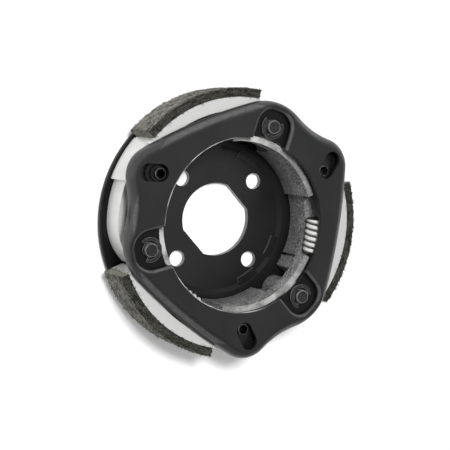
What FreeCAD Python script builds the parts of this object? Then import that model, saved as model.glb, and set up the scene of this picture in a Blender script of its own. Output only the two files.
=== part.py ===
import FreeCAD, Part
import math
import os
import Sketcher

# Centrifugal clutch for a scooter's rear pulley, lying on the back of its carrier plate.
# The pulley axis is +Z, the rear face is at zero height, the front plate faces up.
# Three shoes hinge on pins near the rim and trail clockwise from them. Turning a shoe
# anticlockwise about its pin swings its lining outward to the bell.

doc = FreeCAD.newDocument("centrifugal_clutch")
sheet = doc.addObject("Spreadsheet::Sheet", "Sizes")
upward = FreeCAD.Vector(0, 0, 1)
shoeCount = 3
fullTurn = 360
halfTurn = 180
quarterTurn = 90
shoeStep = fullTurn / shoeCount


class Amount:
    """A size with the spreadsheet formula that gives it."""

    def __init__(self, value, text):
        self.value = value
        self.text = text

    def __add__(self, other):
        return Amount(self.value + other.value, "%s + %s" % (self.text, other.text))

    def __sub__(self, other):
        return Amount(self.value - other.value, "%s - (%s)" % (self.text, other.text))

    def __neg__(self):
        return Amount(-self.value, "-(%s)" % self.text)


sheetRows = []


def size(alias, value):
    sheetRows.append(alias)
    row = len(sheetRows)
    sheet.set("A%d" % row, alias)
    sheet.set("B%d" % row, str(value))
    sheet.setAlias("B%d" % row, alias)
    return Amount(value, "Sizes." + alias)


# Sizes of the whole clutch, in millimetres and degrees
firstPinAngle = size("firstPinAngle", 75.0)
pinCircle = size("pinCircle", 39.5)
runGap = size("runGap", 0.1)
seatGap = size("seatGap", 0.05)

# Carrier plate at the back
carrierRadius = size("carrierRadius", 50.0)
carrierSheet = size("carrierSheet", 2.5)
dishDepth = size("dishDepth", 1.2)
dishFloorRadius = size("dishFloorRadius", 28.4)
dishRimRadius = size("dishRimRadius", 30.0)
hubHoleRadius = size("hubHoleRadius", 14.7)
hubFlatDepth = size("hubFlatDepth", 1.6)
hubFlatAngle = size("hubFlatAngle", 45.0)
boltCircle = size("boltCircle", 22.7)
boltHoleRadius = size("boltHoleRadius", 3.25)
boltCount = 4
seatInnerRadius = size("seatInnerRadius", 26.4)
seatOuterRadius = size("seatOuterRadius", 30.6)
seatHalfAngle = size("seatHalfAngle", 9.0)
seatAngles = (size("hingeSeatAngle", -11.0), size("sideSeatAngle", -97.0))
seatStep = size("seatStep", 0.15)

# Front plate
frontFace = size("frontFace", 28.8)
frontSheet = size("frontSheet", 1.8)
foldRadius = size("foldRadius", 4.0)
foldDepth = size("foldDepth", 4.4)
openingRadius = size("openingRadius", 33.7)
slotLobeCircle = size("slotLobeCircle", 41.0)
slotLobeAngle = size("slotLobeAngle", -39.6)
slotLobeRadius = size("slotLobeRadius", 11.6)
pinLobeCircle = size("pinLobeCircle", 29.3)
pinLobeAngle = size("pinLobeAngle", -1.1)
pinLobeRadius = size("pinLobeRadius", 20.1)
notchRadius = size("notchRadius", 35.4)
armRadius = size("armRadius", 207.0)
tubFloor = size("tubFloor", 25.8)
tubHalfWidth = size("tubHalfWidth", 7.4)
tubReach = size("tubReach", 45.8)
tubCorner = size("tubCorner", 6.2)
tubMouth = size("tubMouth", 34.9)
tubMouthHalfAngle = size("tubMouthHalfAngle", 12.2)
tubLip = size("tubLip", 1.5)
slotCircle = size("slotCircle", 43.3)
slotAngle = size("slotAngle", -40.3)
slotTurn = size("slotTurn", -15.0)
slotHalfWidth = size("slotHalfWidth", 3.3)
slotHalfRun = size("slotHalfRun", 2.45)
slotLip = size("slotLip", 0.5)

# Hinge pins, riveted into the carrier
pinBodyRadius = size("pinBodyRadius", 3.6)
pinRivetRadius = size("pinRivetRadius", 3.2)
pinRivetHead = size("pinRivetHead", 5.0)
pinRivetHeight = size("pinRivetHeight", 0.9)
pinTipRadius = size("pinTipRadius", 2.8)
pinTop = size("pinTop", 27.9)
pinChamfer = size("pinChamfer", 0.35)
clipGrooveRadius = size("clipGrooveRadius", 2.3)
clipThickness = size("clipThickness", 0.7)
clipOuterRadius = size("clipOuterRadius", 4.75)
clipInnerRadius = size("clipInnerRadius", 3.5)
clipTongueHalfAngle = size("clipTongueHalfAngle", 17.0)
clipOpening = size("clipOpening", 56.0)
washerThickness = size("washerThickness", 0.7)
washerOuterRadius = size("washerOuterRadius", 5.4)

# Shoes
bossRadius = size("bossRadius", 5.6)
bossTop = size("bossTop", 23.5)
webInnerRadius = size("webInnerRadius", 33.6)
webSetBack = size("webSetBack", 1.5)
webTop = size("webTop", 16.5)
webStart = size("webStart", -107.5)
webNotchStart = size("webNotchStart", -99.0)
webNotchEnd = size("webNotchEnd", -97.0)
webNotchRadius = size("webNotchRadius", 35.4)
webEnd = size("webEnd", -13.0)
webBlendRadius = size("webBlendRadius", 21.5)
webBlendEnd = size("webBlendEnd", 33.0)
platformInnerCurve = size("platformInnerCurve", 48.65)
platformShift = size("platformShift", 4.6)
platformShiftAngle = size("platformShiftAngle", 84.0)
platformBottom = size("platformBottom", 5.9)
platformTop = size("platformTop", 23.6)
platformStart = size("platformStart", -111.5)
platformEnd = size("platformEnd", -51.5)
shoulderWall = size("shoulderWall", 2.1)
shoulderTop = size("shoulderTop", 20.0)
shoulderStart = size("shoulderStart", -54.0)
shoulderEnd = size("shoulderEnd", -32.5)
rimInnerRadius = size("rimInnerRadius", 32.2)
rimOuterRadius = size("rimOuterRadius", 34.6)
rimTop = size("rimTop", 23.6)
rimStart = size("rimStart", -54.0)
noseEnd = size("noseEnd", 24.0)
noseStart = size("noseStart", 3.0)
noseBottom = size("noseBottom", 17.2)
lugOuterRadius = size("lugOuterRadius", 41.6)
lugTop = size("lugTop", 19.8)
castCorner = size("castCorner", 0.8)
endAngleSlack = size("endAngleSlack", 1.0)
wallToCorner = size("wallToCorner", 3.0)

# Friction linings
liningOuterRadius = size("liningOuterRadius", 52.5)
liningThickness = size("liningThickness", 3.5)
liningStart = size("liningStart", -111.3)
liningEnd = size("liningEnd", -54.6)
liningEdge = size("liningEdge", 0.3)

# Preload adjusters
adjusterCircle = size("adjusterCircle", 40.6)
adjusterAngle = size("adjusterAngle", -41.7)
journalRadius = size("journalRadius", 2.2)
journalBottom = size("journalBottom", 5.0)
crankTurn = size("crankTurn", -85.0)
crankReach = size("crankReach", 3.6)
crankRadius = size("crankRadius", 1.5)
crankBottom = size("crankBottom", 19.2)
crankTop = size("crankTop", 22.8)
crankDiscRadius = size("crankDiscRadius", 4.2)
camStepHeight = size("camStepHeight", 1.0)
camRadii = (size("lowCamRadius", 4.4), size("midCamRadius", 4.0), size("highCamRadius", 3.0))
camOffsets = (size("lowCamOffset", 2.9), size("midCamOffset", 1.2), size("highCamOffset", 0.5))
skirtRadius = size("skirtRadius", 8.3)
skirtOffset = size("skirtOffset", 2.3)
skirtTurn = size("skirtTurn", -22.0)
skirtGap = size("skirtGap", 0.12)
postRadius = size("postRadius", 2.2)
postTop = size("postTop", 27.7)
socketFlat = size("socketFlat", 1.6)
socketDepth = size("socketDepth", 3.6)
socketSides = 6

# Return springs
wireRadius = size("wireRadius", 0.76)
coilRadius = size("coilRadius", 3.3)
coilPitch = size("coilPitch", 2.36)
coilTurns = size("coilTurns", 6)
coilMiddle = size("coilMiddle", 6.2)
coilLeadOut = size("coilLeadOut", 4.2)
coilLeadPull = size("coilLeadPull", 1.9)
hookNeck = size("hookNeck", 1.2)
hookSweep = size("hookSweep", 300.0)
springHeight = size("springHeight", 21.0)
hookGap = size("hookGap", 0.05)
anchorCircle = size("anchorCircle", 38.9)
anchorAngle = size("anchorAngle", 18.7)
anchorRadius = size("anchorRadius", 1.5)
anchorTop = size("anchorTop", 22.4)
anchorDepth = size("anchorDepth", 17.6)

doc.recompute()

annulusTop = dishDepth + carrierSheet
hubFlatDistance = hubHoleRadius - hubFlatDepth
platformOuterRadius = liningOuterRadius - liningThickness
shoulderInnerRadius = platformOuterRadius - shoulderWall
webOuterRadius = platformOuterRadius - webSetBack
shoeBottom = annulusTop + washerThickness
flangeBottom = frontFace - foldDepth
frontUnderside = frontFace - frontSheet
tubUnderside = tubFloor - frontSheet


def polar(radius, degrees):
    turn = math.radians(degrees)
    return FreeCAD.Vector(radius * math.cos(turn), radius * math.sin(turn), 0)


def pinAngle(index):
    return firstPinAngle.value + index * shoeStep


def newBody(label):
    body = doc.addObject("PartDesign::Body", label)
    body.Label = label
    return body


def newSketch(body, name, level):
    sketch = body.newObject("Sketcher::SketchObject", name)
    plane = [item for item in body.Origin.OriginFeatures if item.Role == "XY_Plane"][0]
    sketch.AttachmentSupport = [(plane, "")]
    sketch.MapMode = "FlatFace"
    sketch.setExpression("AttachmentOffset.Base.z", level.text)
    return sketch


def uprightSketch(body, name):
    sketch = body.newObject("Sketcher::SketchObject", name)
    plane = [item for item in body.Origin.OriginFeatures if item.Role == "XZ_Plane"][0]
    sketch.AttachmentSupport = [(plane, "")]
    sketch.MapMode = "FlatFace"
    return sketch


def drawCircle(sketch, centre, radius):
    index = sketch.addGeometry(Part.Circle(centre, upward, radius.value), False)
    rule = sketch.addConstraint(Sketcher.Constraint("Radius", index, radius.value))
    sketch.setExpression("Constraints[%d]" % rule, radius.text)


def drawLine(sketch, start, end):
    sketch.addGeometry(Part.LineSegment(start, end), False)


def drawArc(sketch, centre, radius, start, end):
    circle = Part.Circle(centre, upward, radius)
    sketch.addGeometry(Part.ArcOfCircle(circle, math.radians(start), math.radians(end)), False)


def drawLoop(sketch, corners):
    for number, corner in enumerate(corners):
        drawLine(sketch, corners[number - 1], corner)


def drawSector(sketch, innerRadius, outerRadius, start, end, turn=0):
    middle = FreeCAD.Vector()
    drawArc(sketch, middle, innerRadius.value, start.value + turn, end.value + turn)
    drawArc(sketch, middle, outerRadius.value, start.value + turn, end.value + turn)
    for side in (start.value + turn, end.value + turn):
        drawLine(sketch, polar(innerRadius.value, side), polar(outerRadius.value, side))


def addPad(body, sketch, name, length):
    feature = body.newObject("PartDesign::Pad", name)
    feature.Profile = sketch
    feature.setExpression("Length", length.text)
    sketch.Visibility = False
    return feature


def addPocket(body, sketch, name, depth=None):
    feature = body.newObject("PartDesign::Pocket", name)
    feature.Profile = sketch
    if depth is None:
        feature.Type = "ThroughAll"
        feature.Midplane = True
    else:
        feature.setExpression("Length", depth.text)
    sketch.Visibility = False
    return feature


def addTurned(body, sketch, name):
    feature = body.newObject("PartDesign::Revolution", name)
    feature.Profile = sketch
    feature.ReferenceAxis = (sketch, ["V_Axis"])
    feature.Angle = fullTurn
    sketch.Visibility = False
    return feature


def addRing(body, feature, name, count):
    pattern = body.newObject("PartDesign::PolarPattern", name)
    pattern.Originals = [feature]
    axis = [item for item in body.Origin.OriginFeatures if item.Role == "Z_Axis"][0]
    pattern.Axis = (axis, [""])
    pattern.Angle = fullTurn
    pattern.Occurrences = count
    body.Tip = pattern
    return pattern


def edgesWhere(feature, wanted):
    doc.recompute()
    names = []
    for number, edge in enumerate(feature.Shape.Edges):
        if wanted(edge):
            names.append("Edge%d" % (number + 1))
    return names


def addRounding(body, feature, name, radius, wanted):
    rounding = body.newObject("PartDesign::Fillet", name)
    rounding.Base = (feature, edgesWhere(feature, wanted))
    rounding.setExpression("Radius", radius.text)
    return rounding


def addBevel(body, feature, name, width, wanted):
    bevel = body.newObject("PartDesign::Chamfer", name)
    bevel.Base = (feature, edgesWhere(feature, wanted))
    bevel.setExpression("Size", width.text)
    return bevel


def lowestOf(edge):
    return edge.BoundBox.ZMin


def highestOf(edge):
    return edge.BoundBox.ZMax


def isLevel(edge, height):
    return abs(lowestOf(edge) - height) < seatGap.value and abs(highestOf(edge) - height) < seatGap.value


def meanRadius(edge):
    middle = edge.valueAt((edge.FirstParameter + edge.LastParameter) / 2)
    return math.hypot(middle.x, middle.y)


# Carrier plate: dished round plate with the hub hole, bolt holes, rivet holes and reliefs
def makeBackPlate():
    body = newBody("back_plate")
    profile = uprightSketch(body, "carrier_section")
    drop = dishDepth.value
    thick = carrierSheet.value
    floorEdge = dishFloorRadius.value
    rimEdge = dishRimRadius.value
    outer = carrierRadius.value
    drawLoop(profile, [
        FreeCAD.Vector(0, 0, 0),
        FreeCAD.Vector(floorEdge + dishDepth.value, 0, 0),
        FreeCAD.Vector(rimEdge + dishDepth.value, drop, 0),
        FreeCAD.Vector(outer, drop, 0),
        FreeCAD.Vector(outer, drop + thick, 0),
        FreeCAD.Vector(rimEdge, drop + thick, 0),
        FreeCAD.Vector(floorEdge, thick, 0),
        FreeCAD.Vector(0, thick, 0),
    ])
    disc = addTurned(body, profile, "carrier_disc")
    addBevel(body, disc, "carrier_edge", pinChamfer, lambda edge: meanRadius(edge) > outer - seatGap.value
             and highestOf(edge) - lowestOf(edge) < seatGap.value)

    hub = newSketch(body, "hub_hole_outline", annulusTop)
    half = math.degrees(math.acos(hubFlatDistance.value / hubHoleRadius.value))
    for turn in (0, halfTurn):
        middle = hubFlatAngle.value + turn
        drawArc(hub, FreeCAD.Vector(), hubHoleRadius.value, middle + half, middle + halfTurn - half)
        drawLine(hub, polar(hubHoleRadius.value, middle - half), polar(hubHoleRadius.value, middle + half))
    addPocket(body, hub, "hub_hole")

    bolt = newSketch(body, "bolt_hole_outline", annulusTop)
    drawCircle(bolt, polar(boltCircle.value, hubFlatAngle.value), boltHoleRadius)
    addRing(body, addPocket(body, bolt, "bolt_hole"), "bolt_holes", boltCount)

    for number, seatAngle in enumerate(seatAngles):
        seat = newSketch(body, "seat_outline_%d" % (number + 1), dishDepth)
        middle = firstPinAngle.value + seatAngle.value
        drawSector(seat, seatInnerRadius, seatOuterRadius, -seatHalfAngle, seatHalfAngle, middle)
        blank = addPad(body, seat, "seat_%d" % (number + 1), carrierSheet - seatStep)
        addRing(body, blank, "seats_%d" % (number + 1), shoeCount)

    rivet = newSketch(body, "rivet_hole_outline", annulusTop)
    drawCircle(rivet, polar(pinCircle.value, firstPinAngle.value), pinRivetRadius)
    addRing(body, addPocket(body, rivet, "rivet_hole"), "rivet_holes", shoeCount)
    return body


# Where a circle touching two others has its middle: the nearer or farther crossing of two reaches
def crossing(first, firstReach, second, secondReach, outside):
    span = second - first
    along = (firstReach ** 2 - secondReach ** 2 + span.Length ** 2) / (2 * span.Length)
    across = math.sqrt(firstReach ** 2 - along ** 2)
    direction = FreeCAD.Vector(span).normalize()
    side = FreeCAD.Vector(direction.y, -direction.x, 0)
    if side.dot(first + second) < 0:
        side = side * -1
    if not outside:
        side = side * -1
    return first + direction * along + side * across


def bearing(origin, target):
    return math.degrees(math.atan2(target.y - origin.y, target.x - origin.x))


def drawArcBetween(sketch, centre, radius, start, end):
    first = bearing(centre, start)
    last = bearing(centre, end)
    while last < first:
        last += fullTurn
    drawArc(sketch, centre, radius, first, last)


# Three-lobed outline of the front plate, moved inward by inset
def drawLobes(sketch, inset):
    slotRadius = slotLobeRadius.value - inset
    hingeRadius = pinLobeRadius.value - inset
    hollowRadius = notchRadius.value + inset
    sideRadius = armRadius.value - inset
    for index in range(shoeCount):
        angle = pinAngle(index)
        slotLobe = polar(slotLobeCircle.value, angle + slotLobeAngle.value)
        hingeLobe = polar(pinLobeCircle.value, angle + pinLobeAngle.value)
        nextLobe = polar(slotLobeCircle.value, angle + slotLobeAngle.value + shoeStep)
        lastLobe = polar(pinLobeCircle.value, angle + pinLobeAngle.value - shoeStep)
        hollow = crossing(slotLobe, slotRadius + hollowRadius, hingeLobe, hingeRadius + hollowRadius, True)
        side = crossing(hingeLobe, sideRadius - hingeRadius, nextLobe, sideRadius - slotRadius, False)
        lastSide = crossing(lastLobe, sideRadius - hingeRadius, slotLobe, sideRadius - slotRadius, False)
        slotEntry = slotLobe + (slotLobe - lastSide).normalize() * slotRadius
        slotExit = slotLobe + (hollow - slotLobe).normalize() * slotRadius
        hingeEntry = hingeLobe + (hollow - hingeLobe).normalize() * hingeRadius
        hingeExit = hingeLobe + (hingeLobe - side).normalize() * hingeRadius
        nextEntry = nextLobe + (nextLobe - side).normalize() * slotRadius
        drawArcBetween(sketch, slotLobe, slotRadius, slotEntry, slotExit)
        drawArcBetween(sketch, hollow, hollowRadius, hingeEntry, slotExit)
        drawArcBetween(sketch, hingeLobe, hingeRadius, hingeEntry, hingeExit)
        drawArcBetween(sketch, side, sideRadius, hingeExit, nextEntry)


# Pocket round a hinge pin, open to the middle, widened by grow
def drawTub(sketch, angle, grow, mouth):
    turn = FreeCAD.Rotation(upward, angle)
    half = tubHalfWidth.value + grow
    reach = tubReach.value + grow
    corner = tubCorner.value + grow
    bend = reach - corner

    def turned(along, across):
        return turn.multVec(FreeCAD.Vector(along, across, 0))

    drawLine(sketch, turned(mouth, -half), turned(bend, -half))
    drawArc(sketch, turned(bend, corner - half), corner, angle - quarterTurn, angle)
    drawLine(sketch, turned(reach, corner - half), turned(reach, half - corner))
    drawArc(sketch, turned(bend, half - corner), corner, angle, angle + quarterTurn)
    drawLine(sketch, turned(bend, half), turned(mouth, half))
    drawLine(sketch, turned(mouth, half), turned(mouth, -half))


def drawSlot(sketch, angle):
    turn = angle + slotTurn.value
    middle = polar(slotCircle.value, angle + slotAngle.value)
    halfWidth = slotHalfWidth.value
    near = middle - polar(slotHalfRun.value, turn)
    far = middle + polar(slotHalfRun.value, turn)
    drawArc(sketch, far, halfWidth, turn - quarterTurn, turn + quarterTurn)
    drawArc(sketch, near, halfWidth, turn + quarterTurn, turn + quarterTurn + halfTurn)
    for side in (turn - quarterTurn, turn + quarterTurn):
        drawLine(sketch, near + polar(halfWidth, side), far + polar(halfWidth, side))


# Edges of a pin pocket lie nearer to its pin than the outline of the plate does
def edgeNearPin(edge):
    middle = edge.valueAt((edge.FirstParameter + edge.LastParameter) / 2)
    reach = tubReach.value + seatGap.value
    for index in range(shoeCount):
        local = FreeCAD.Rotation(upward, -pinAngle(index)).multVec(middle)
        if local.x > 0 and local.x < reach and abs(local.y) < tubHalfWidth.value + seatGap.value:
            return True
    return False


# Front plate: pressed sheet folded down at its edge, with pivot pockets, slots and a wide opening
def makeFrontPlate():
    body = newBody("front_plate")
    outline = newSketch(body, "plate_outline", flangeBottom)
    drawLobes(outline, 0)
    blank = addPad(body, outline, "plate_blank", foldDepth)
    addRounding(body, blank, "outer_fold", foldRadius, lambda edge: isLevel(edge, frontFace.value))

    hollow = newSketch(body, "hollow_outline", frontUnderside)
    drawLobes(hollow, frontSheet.value)
    addPocket(body, hollow, "hollow", foldDepth)

    tubs = newSketch(body, "tub_outline", tubUnderside)
    inside = newSketch(body, "tub_inside_outline", frontFace)
    for index in range(shoeCount):
        drawTub(tubs, pinAngle(index), frontSheet.value, webInnerRadius.value)
        drawTub(inside, pinAngle(index), 0, webInnerRadius.value - frontSheet.value)
    addPad(body, tubs, "tubs", frontUnderside - tubUnderside + runGap)
    recessed = addPocket(body, inside, "tub_insides", frontFace - tubFloor)
    lipReach = openingRadius.value - frontSheet.value
    addRounding(body, recessed, "tub_lips", tubLip, lambda edge: isLevel(edge, frontFace.value)
                and meanRadius(edge) > lipReach and edgeNearPin(edge))

    mouths = newSketch(body, "tub_mouth_outline", tubFloor)
    for index in range(shoeCount):
        drawSector(mouths, dishRimRadius, tubMouth, -tubMouthHalfAngle, tubMouthHalfAngle, pinAngle(index))
    addPocket(body, mouths, "tub_mouths", frontSheet + frontSheet)

    opening = newSketch(body, "opening_outline", frontFace)
    drawCircle(opening, FreeCAD.Vector(), openingRadius)
    addPocket(body, opening, "opening")

    slots = newSketch(body, "slot_outline", frontFace)
    for index in range(shoeCount):
        drawSlot(slots, pinAngle(index))
    addPocket(body, slots, "slots", frontSheet + frontSheet)

    tips = newSketch(body, "pin_hole_outline", tubFloor)
    drawCircle(tips, polar(pinCircle.value, firstPinAngle.value), pinTipRadius + runGap)
    addRing(body, addPocket(body, tips, "pin_hole", frontSheet + frontSheet), "pin_holes", shoeCount)
    return body


# Hinge pin: rivet head behind the carrier, shoulder, and a grooved tip for its clip
def makePivotPin(index):
    body = newBody("pivot_pin_%d" % (index + 1))
    profile = uprightSketch(body, "pin_section")
    behind = dishDepth.value
    shoulder = tubUnderside.value - runGap.value
    grooveEnd = tubFloor.value + clipThickness.value + runGap.value
    chamfer = pinChamfer.value
    tip = pinTipRadius.value
    groove = clipGrooveRadius.value
    drawLoop(profile, [
        FreeCAD.Vector(0, behind - pinRivetHeight.value, 0),
        FreeCAD.Vector(pinRivetHead.value - chamfer, behind - pinRivetHeight.value, 0),
        FreeCAD.Vector(pinRivetHead.value, behind - pinRivetHeight.value + chamfer, 0),
        FreeCAD.Vector(pinRivetHead.value, behind, 0),
        FreeCAD.Vector(pinRivetRadius.value, behind, 0),
        FreeCAD.Vector(pinRivetRadius.value, annulusTop.value, 0),
        FreeCAD.Vector(pinBodyRadius.value, annulusTop.value, 0),
        FreeCAD.Vector(pinBodyRadius.value, shoulder, 0),
        FreeCAD.Vector(tip, shoulder, 0),
        FreeCAD.Vector(tip, tubFloor.value, 0),
        FreeCAD.Vector(groove, tubFloor.value, 0),
        FreeCAD.Vector(groove, grooveEnd, 0),
        FreeCAD.Vector(tip, grooveEnd, 0),
        FreeCAD.Vector(tip, pinTop.value - chamfer, 0),
        FreeCAD.Vector(tip - chamfer, pinTop.value, 0),
        FreeCAD.Vector(0, pinTop.value, 0),
    ])
    addTurned(body, profile, "pin_turning")
    place(body, index, polar(pinCircle.value, 0))
    return body


# Puts a piece that was drawn with its hinge pin on the X axis at the hinge of that number
def place(body, index, offset=None):
    turn = FreeCAD.Rotation(upward, pinAngle(index))
    body.Placement = FreeCAD.Placement(turn.multVec(offset or FreeCAD.Vector()), turn)


# Three E-clips as one group, each open outward
def makeClips():
    parts = []
    for index in range(shoeCount):
        body = newBody("clip_%d" % (index + 1))
        outline = newSketch(body, "clip_outline", tubFloor)
        middle = FreeCAD.Vector()
        grip = clipGrooveRadius.value + hookGap.value
        inner = clipInnerRadius.value
        outer = clipOuterRadius.value
        tongue = clipTongueHalfAngle.value
        mouth = clipOpening.value
        drawArc(outline, middle, outer, mouth, fullTurn - mouth)
        for side in (mouth, -mouth):
            drawLine(outline, polar(grip, side), polar(outer, side))
        tongues = (mouth + tongue, halfTurn - tongue, halfTurn + tongue, fullTurn - mouth - tongue)
        drawArc(outline, middle, grip, mouth, tongues[0])
        drawLine(outline, polar(grip, tongues[0]), polar(inner, tongues[0]))
        drawArc(outline, middle, inner, tongues[0], tongues[1])
        drawLine(outline, polar(grip, tongues[1]), polar(inner, tongues[1]))
        drawArc(outline, middle, grip, tongues[1], tongues[2])
        drawLine(outline, polar(grip, tongues[2]), polar(inner, tongues[2]))
        drawArc(outline, middle, inner, tongues[2], tongues[3])
        drawLine(outline, polar(grip, tongues[3]), polar(inner, tongues[3]))
        drawArc(outline, middle, grip, tongues[3], fullTurn - mouth)
        addPad(body, outline, "clip_blank", clipThickness)
        place(body, index, polar(pinCircle.value, 0))
        parts.append(body)
    return gather("retaining_clips", parts)


# Three washers as one group, between the carrier and the shoes
def makeWashers():
    parts = []
    for index in range(shoeCount):
        body = newBody("washer_%d" % (index + 1))
        outline = newSketch(body, "washer_outline", annulusTop)
        drawCircle(outline, FreeCAD.Vector(), washerOuterRadius)
        drawCircle(outline, FreeCAD.Vector(), pinBodyRadius + runGap)
        addPad(body, outline, "washer_blank", washerThickness)
        place(body, index, polar(pinCircle.value, 0))
        parts.append(body)
    return gather("pivot_washers", parts)


def gather(label, parts):
    group = doc.addObject("Part::Compound", label)
    group.Links = parts
    group.Label = label
    return group


# Low wall of a shoe: curved, notched near its free end, and rounded into the hinge boss
def drawWeb(sketch):
    middle = FreeCAD.Vector()
    inner = webInnerRadius.value
    outer = webOuterRadius.value
    notch = webNotchRadius.value
    blendMiddle = polar(outer - webBlendRadius.value, webEnd.value)
    blendTip = blendMiddle + polar(webBlendRadius.value, webBlendEnd.value)
    innerTip = polar(inner, webEnd.value)
    drawArc(sketch, middle, inner, webStart.value, webNotchStart.value)
    drawLine(sketch, polar(inner, webNotchStart.value), polar(notch, webNotchStart.value))
    drawArc(sketch, middle, notch, webNotchStart.value, webNotchEnd.value)
    drawLine(sketch, polar(notch, webNotchEnd.value), polar(inner, webNotchEnd.value))
    drawArc(sketch, middle, inner, webNotchEnd.value, webEnd.value)
    drawLine(sketch, innerTip, blendTip)
    drawArc(sketch, blendMiddle, webBlendRadius.value, webEnd.value, webBlendEnd.value)
    drawArc(sketch, middle, outer, webStart.value, webEnd.value)
    drawLine(sketch, polar(outer, webStart.value), polar(inner, webStart.value))


# Lining platform of a shoe: round about the axis outside, with an inside that lets it widen towards the toe
def drawPlatform(sketch):
    middle = polar(platformShift.value, platformShiftAngle.value)
    corners = []
    for angle in (platformStart.value, platformEnd.value):
        apart = math.radians(angle - platformShiftAngle.value)
        across = platformShift.value * math.sin(apart)
        reach = platformShift.value * math.cos(apart) + math.sqrt(platformInnerCurve.value ** 2 - across ** 2)
        corners.append(polar(reach, angle))
    drawArcBetween(sketch, middle, platformInnerCurve.value, corners[0], corners[1])
    drawLine(sketch, corners[1], polar(platformOuterRadius.value, platformEnd.value))
    drawArc(sketch, FreeCAD.Vector(), platformOuterRadius.value, platformStart.value, platformEnd.value)
    drawLine(sketch, polar(platformOuterRadius.value, platformStart.value), corners[0])


# Cast shoe: hinge boss, low web, lining platform, bright inner rim and a nose past the hinge
def makeShoe(index):
    body = newBody("shoe_%d" % (index + 1))
    web = newSketch(body, "web_outline", shoeBottom)
    drawWeb(web)
    addPad(body, web, "web", webTop - shoeBottom)

    boss = newSketch(body, "boss_outline", shoeBottom)
    drawCircle(boss, polar(pinCircle.value, 0), bossRadius)
    addPad(body, boss, "boss", bossTop - shoeBottom)

    platform = newSketch(body, "platform_outline", platformBottom)
    drawPlatform(platform)
    addPad(body, platform, "platform", platformTop - platformBottom)

    shoulder = newSketch(body, "shoulder_outline", shoeBottom)
    drawSector(shoulder, shoulderInnerRadius, platformOuterRadius, shoulderStart, shoulderEnd)
    addPad(body, shoulder, "shoulder", shoulderTop - shoeBottom)

    rim = newSketch(body, "rim_outline", shoeBottom)
    drawSector(rim, rimInnerRadius, rimOuterRadius, rimStart, webEnd)
    addPad(body, rim, "rim", rimTop - shoeBottom)

    nose = newSketch(body, "nose_outline", noseBottom)
    drawSector(nose, rimInnerRadius, rimOuterRadius, webEnd, noseEnd)
    addPad(body, nose, "nose", rimTop - noseBottom)

    lug = newSketch(body, "lug_outline", noseBottom)
    drawSector(lug, rimInnerRadius, lugOuterRadius, noseStart, noseEnd)
    lugPad = addPad(body, lug, "lug", lugTop - noseBottom)
    cast = addRounding(body, lugPad, "cast_corners", castCorner, isCastCorner)

    bores = newSketch(body, "bore_outline", platformTop)
    drawCircle(bores, polar(pinCircle.value, 0), pinBodyRadius + seatGap)
    addPocket(body, bores, "pivot_bore")

    journal = newSketch(body, "adjuster_bore_outline", webTop)
    drawCircle(journal, polar(adjusterCircle.value, adjusterAngle.value), journalRadius + seatGap)
    addPocket(body, journal, "adjuster_bore", webTop - journalBottom)

    anchor = newSketch(body, "anchor_bore_outline", lugTop)
    drawCircle(anchor, polar(anchorCircle.value, anchorAngle.value), anchorRadius)
    addPocket(body, anchor, "anchor_bore", lugTop - anchorDepth)
    place(body, index)
    return body


# Corners of the casting that are rounded: the upright edges at the toe and where the platform ends
def isCastCorner(edge):
    upright = highestOf(edge) - lowestOf(edge) > castCorner.value * wallToCorner.value
    straight = edge.Curve.TypeId == "Part::GeomLine"
    radius = meanRadius(edge)
    angle = math.degrees(math.atan2(edge.valueAt(edge.FirstParameter).y, edge.valueAt(edge.FirstParameter).x))
    atToe = angle < webStart.value + seatGap.value and radius < lugOuterRadius.value
    atPlatform = abs(angle - platformEnd.value) < endAngleSlack.value and radius > webOuterRadius.value
    return upright and straight and (atToe or atPlatform)


# Friction lining bonded to the outside of a shoe
def makeLining(index):
    body = newBody("lining_%d" % (index + 1))
    outline = newSketch(body, "lining_outline", platformBottom)
    drawSector(outline, platformOuterRadius, liningOuterRadius, liningStart, liningEnd)
    blank = addPad(body, outline, "lining_blank", platformTop - platformBottom)
    outermost = liningOuterRadius.value - seatGap.value
    addBevel(body, blank, "lining_edges", liningEdge, lambda edge: meanRadius(edge) > outermost)
    place(body, index)
    return body


# Anchor pin pressed into the nose of a shoe, holding the far hook of the next shoe's spring
def makeAnchorPin(index):
    body = newBody("spring_anchor_pin_%d" % (index + 1))
    outline = newSketch(body, "anchor_outline", anchorDepth)
    drawCircle(outline, polar(anchorCircle.value, anchorAngle.value), anchorRadius)
    blank = addPad(body, outline, "anchor_blank", anchorTop - anchorDepth)
    addBevel(body, blank, "anchor_edge", liningEdge, lambda edge: isLevel(edge, anchorTop.value))
    place(body, index)
    return body


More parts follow.
